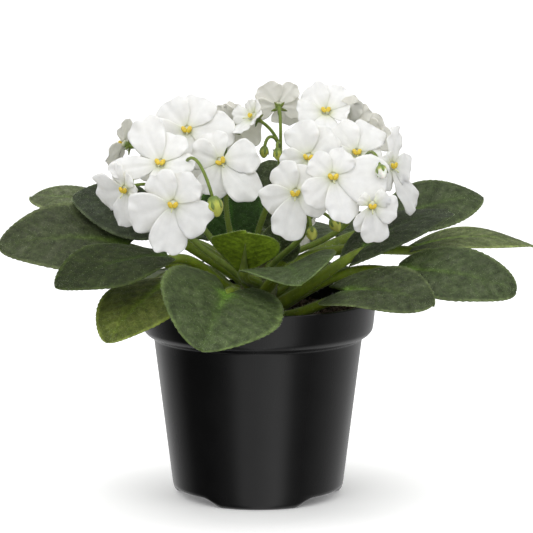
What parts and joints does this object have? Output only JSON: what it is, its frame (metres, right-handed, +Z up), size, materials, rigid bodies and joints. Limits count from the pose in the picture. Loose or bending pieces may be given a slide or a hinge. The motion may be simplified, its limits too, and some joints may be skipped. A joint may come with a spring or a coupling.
{
  "type": "potted african violet",
  "caption": "White-flowered African violet with a rosette of stalked, velvety leaves, growing in a black plastic nursery pot with a stepped rim and feet between low arches.",
  "frame": {"origin": "on the ground under the middle of the whole plant's box; the pot's own axis is at x -0.005, y -0.0104", "axes": "+X to the right as seen from the front, along the widest spread of the leaves, +Y to the back, +Z up; the front is the side of the heart-shaped leaf and the pot's middle foot, and it faces -Y"},
  "size_m": [0.2361, 0.1792, 0.1851],
  "materials": {
    "black_plastic": "satin black plastic",
    "soil": "crumbly peat potting mix",
    "crown_flesh": "fleshy plant stem",
    "leaf_green": "velvety, hairy leaf",
    "stalk_green": "downy green stem",
    "petal_white": "soft white petal with yellow anthers at its middle"
  },
  "bodies": {
    "root": {"pot": "black_plastic", "potting_soil": "soil", "crown": "crown_flesh", "leaf_front_heart": "leaf_green", "leaf_front_left": "leaf_green", "leaf_left_low": "leaf_green", "leaf_left_wide": "leaf_green", "leaf_left_high": "leaf_green", "leaf_left_rear": "leaf_green", "leaf_inner_front": "leaf_green", "leaf_inner_fold": "leaf_green", "leaf_right_front": "leaf_green", "leaf_right_low": "leaf_green", "leaf_right_mid": "leaf_green", "leaf_right_long": "leaf_green", "leaf_right_high": "leaf_green", "leaf_inner_left": "leaf_green", "leaf_inner_right": "leaf_green", "leaf_inner_small": "leaf_green", "leaf_back_low_right": "leaf_green", "leaf_back_low": "leaf_green", "leaf_back_low_left": "leaf_green", "leaf_back_right": "leaf_green", "leaf_back_middle": "leaf_green", "leaf_back_left": "leaf_green", "flower_stalk_left_front": "stalk_green", "flower_stalk_left_rear": "stalk_green", "flower_stalk_inner": "stalk_green", "flower_stalk_centre": "stalk_green", "flower_stalk_right_front": "stalk_green", "flower_stalk_right": "stalk_green", "flower_stalk_right_rear": "stalk_green", "flower_stalk_back": "stalk_green", "bloom_left_outer": "petal_white", "bloom_left_low": "petal_white", "bloom_left_middle": "petal_white", "bloom_left_front": "petal_white", "bloom_left_top": "petal_white", "bloom_left_inner": "petal_white", "bloom_centre_turned": "petal_white", "bloom_centre_small": "petal_white", "bloom_centre_top": "petal_white", "bloom_right_top": "petal_white", "bloom_right_rear": "petal_white", "bloom_right_side": "petal_white", "bloom_right_inner": "petal_white", "bloom_right_front": "petal_white", "bloom_centre_front": "petal_white", "bloom_right_upper": "petal_white", "bloom_right_low": "petal_white", "bloom_right_outer": "petal_white", "bloom_right_turned": "petal_white", "bloom_back_left": "petal_white", "bloom_back_inner": "petal_white", "bloom_back_low": "petal_white", "bloom_back_right": "petal_white", "bloom_back_low_right": "petal_white"}
  },
  "joints": []
}
